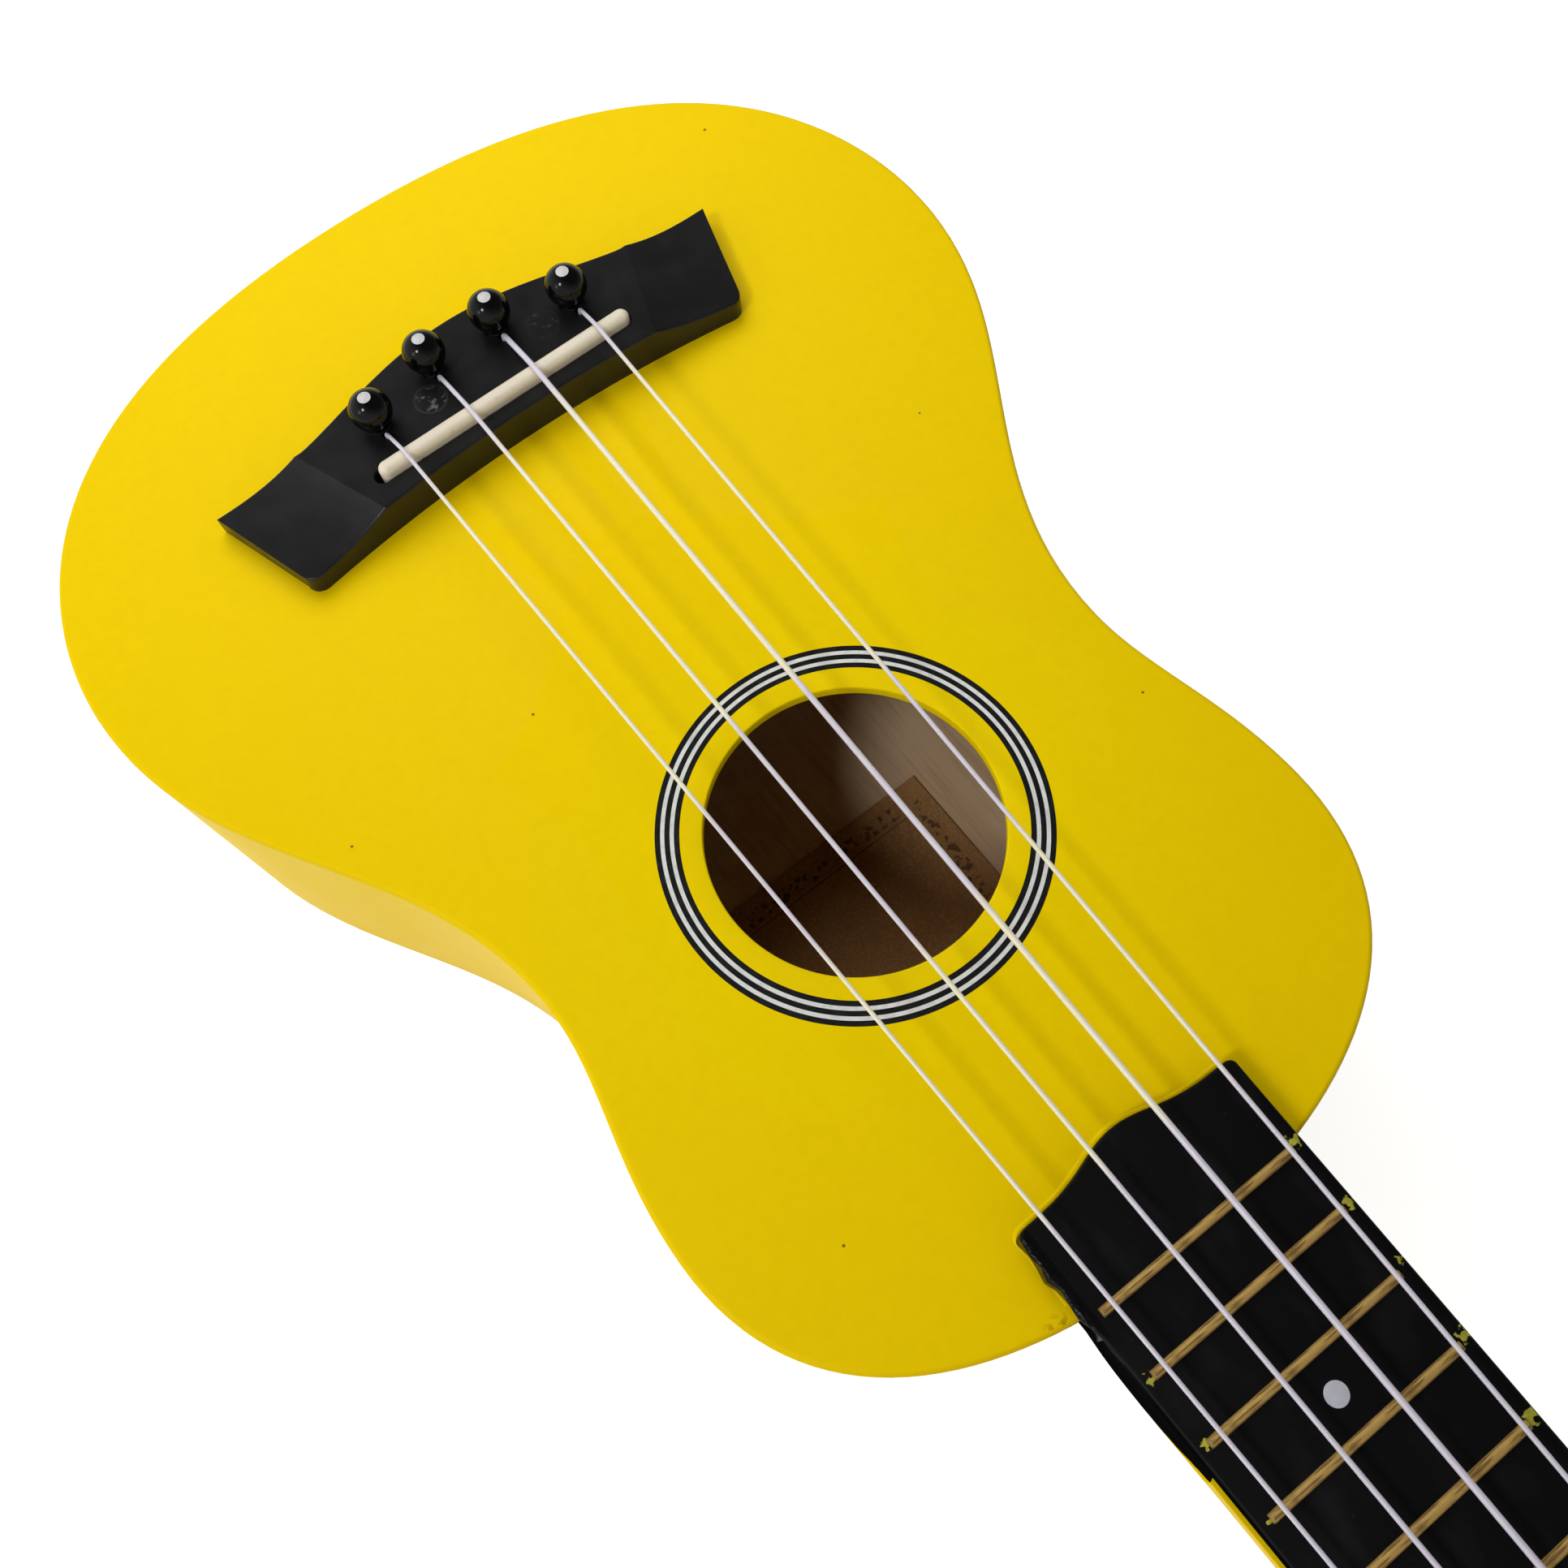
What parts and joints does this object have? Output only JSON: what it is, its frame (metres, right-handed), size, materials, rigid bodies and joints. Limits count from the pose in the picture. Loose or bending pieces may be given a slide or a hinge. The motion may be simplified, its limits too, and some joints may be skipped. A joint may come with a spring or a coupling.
{
  "type": "soprano ukulele",
  "caption": "Small plucked string instrument with a hollow waisted body, fretted neck, pinned bridge and open-gear tuners; painted wood, lying on its back.",
  "frame": {"origin": "under the middle of the overall length and width, on the plane that the back lies on", "axes": "+Z out of the soundboard, +Y along the neck to the head, +X towards the side of the first (A) string"},
  "size_m": [0.175, 0.5046, 0.0733],
  "materials": {
    "yellow_wood": "opaque yellow paint, satin",
    "bare_wood": "unfinished pale wood",
    "label_paper": "plain matt paper",
    "board_black": "black paint, satin, with bronze-coloured frets",
    "marker_white": "pale grey plastic",
    "ivory_plastic": "ivory plastic",
    "bridge_black": "satin black",
    "pin_black": "polished black with a small white dot",
    "button_black": "polished black",
    "nylon": "translucent white nylon",
    "nickel": "polished nickel plate",
    "brass": "plain brass"
  },
  "bodies": {
    "root": {"soundboard": "yellow_wood", "back_plate": "yellow_wood", "side_bass": "yellow_wood", "side_treble": "yellow_wood", "neck": "yellow_wood", "neck_block": "bare_wood", "tail_block": "bare_wood", "top_lining_bass": "bare_wood", "top_lining_treble": "bare_wood", "back_lining_bass": "bare_wood", "back_lining_treble": "bare_wood", "upper_top_brace": "bare_wood", "lower_top_brace": "bare_wood", "upper_back_brace": "bare_wood", "lower_back_brace": "bare_wood", "bridge_plate": "bare_wood", "label": "label_paper", "fingerboard": "board_black", "position_dot_5": "marker_white", "position_dot_7": "marker_white", "position_dot_10": "marker_white", "nut": "ivory_plastic", "saddle": "ivory_plastic", "bridge": "bridge_black", "string_g": "nylon", "string_c": "nylon", "string_e": "nylon", "string_a": "nylon", "tuner_plate_g": "nickel", "tuner_plate_c": "nickel", "tuner_plate_e": "nickel", "tuner_plate_a": "nickel", "ferrule_g": "nickel", "ferrule_c": "nickel", "ferrule_e": "nickel", "ferrule_a": "nickel"},
    "tuner_shaft_g": {"tuner_worm_g": "nickel", "tuner_button_g": "button_black"},
    "string_post_g": {"tuner_post_g": "nickel", "tuner_gear_g": "brass", "winding_g": "nylon"},
    "pin_g": {"bridge_pin_g": "pin_black"},
    "tuner_shaft_c": {"tuner_worm_c": "nickel", "tuner_button_c": "button_black"},
    "string_post_c": {"tuner_post_c": "nickel", "tuner_gear_c": "brass", "winding_c": "nylon"},
    "pin_c": {"bridge_pin_c": "pin_black"},
    "tuner_shaft_e": {"tuner_worm_e": "nickel", "tuner_button_e": "button_black"},
    "string_post_e": {"tuner_post_e": "nickel", "tuner_gear_e": "brass", "winding_e": "nylon"},
    "pin_e": {"bridge_pin_e": "pin_black"},
    "tuner_shaft_a": {"tuner_worm_a": "nickel", "tuner_button_a": "button_black"},
    "string_post_a": {"tuner_post_a": "nickel", "tuner_gear_a": "brass", "winding_a": "nylon"},
    "pin_a": {"bridge_pin_a": "pin_black"}
  },
  "joints": [
    {"name": "tuner_turn_g", "type": "hinge", "parent": "root", "child": "tuner_shaft_g", "pos_m": [-0.0155, 0.17547, 0.0393], "axis": [1, 0, 0], "continuous": true},
    {"name": "post_turn_g", "type": "hinge", "parent": "root", "child": "string_post_g", "pos_m": [-0.0155, 0.18456, 0.05328], "axis": [0, 0.1736, 0.9848], "continuous": true},
    {"name": "pin_pull_g", "type": "slide", "parent": "root", "child": "pin_g", "axis": [0, 0, 1], "range_m": [0, 0.028]},
    {"name": "tuner_turn_c", "type": "hinge", "parent": "root", "child": "tuner_shaft_c", "pos_m": [-0.0155, 0.20994, 0.03322], "axis": [1, 0, 0], "continuous": true},
    {"name": "post_turn_c", "type": "hinge", "parent": "root", "child": "string_post_c", "pos_m": [-0.0155, 0.21903, 0.04721], "axis": [0, 0.1736, 0.9848], "continuous": true},
    {"name": "pin_pull_c", "type": "slide", "parent": "root", "child": "pin_c", "axis": [0, 0, 1], "range_m": [0, 0.028]},
    {"name": "tuner_turn_e", "type": "hinge", "parent": "root", "child": "tuner_shaft_e", "pos_m": [0.0155, 0.20994, 0.03322], "axis": [1, 0, 0], "continuous": true},
    {"name": "post_turn_e", "type": "hinge", "parent": "root", "child": "string_post_e", "pos_m": [0.0155, 0.21903, 0.04721], "axis": [0, 0.1736, 0.9848], "continuous": true},
    {"name": "pin_pull_e", "type": "slide", "parent": "root", "child": "pin_e", "axis": [0, 0, 1], "range_m": [0, 0.028]},
    {"name": "tuner_turn_a", "type": "hinge", "parent": "root", "child": "tuner_shaft_a", "pos_m": [0.0155, 0.17547, 0.0393], "axis": [1, 0, 0], "continuous": true},
    {"name": "post_turn_a", "type": "hinge", "parent": "root", "child": "string_post_a", "pos_m": [0.0155, 0.18456, 0.05328], "axis": [0, 0.1736, 0.9848], "continuous": true},
    {"name": "pin_pull_a", "type": "slide", "parent": "root", "child": "pin_a", "axis": [0, 0, 1], "range_m": [0, 0.028]}
  ],
  "couplings": [
    {"joint": "post_turn_g", "follows": "tuner_turn_g", "ratio": -0.071429},
    {"joint": "post_turn_c", "follows": "tuner_turn_c", "ratio": -0.071429},
    {"joint": "post_turn_e", "follows": "tuner_turn_e", "ratio": -0.071429},
    {"joint": "post_turn_a", "follows": "tuner_turn_a", "ratio": -0.071429}
  ]
}
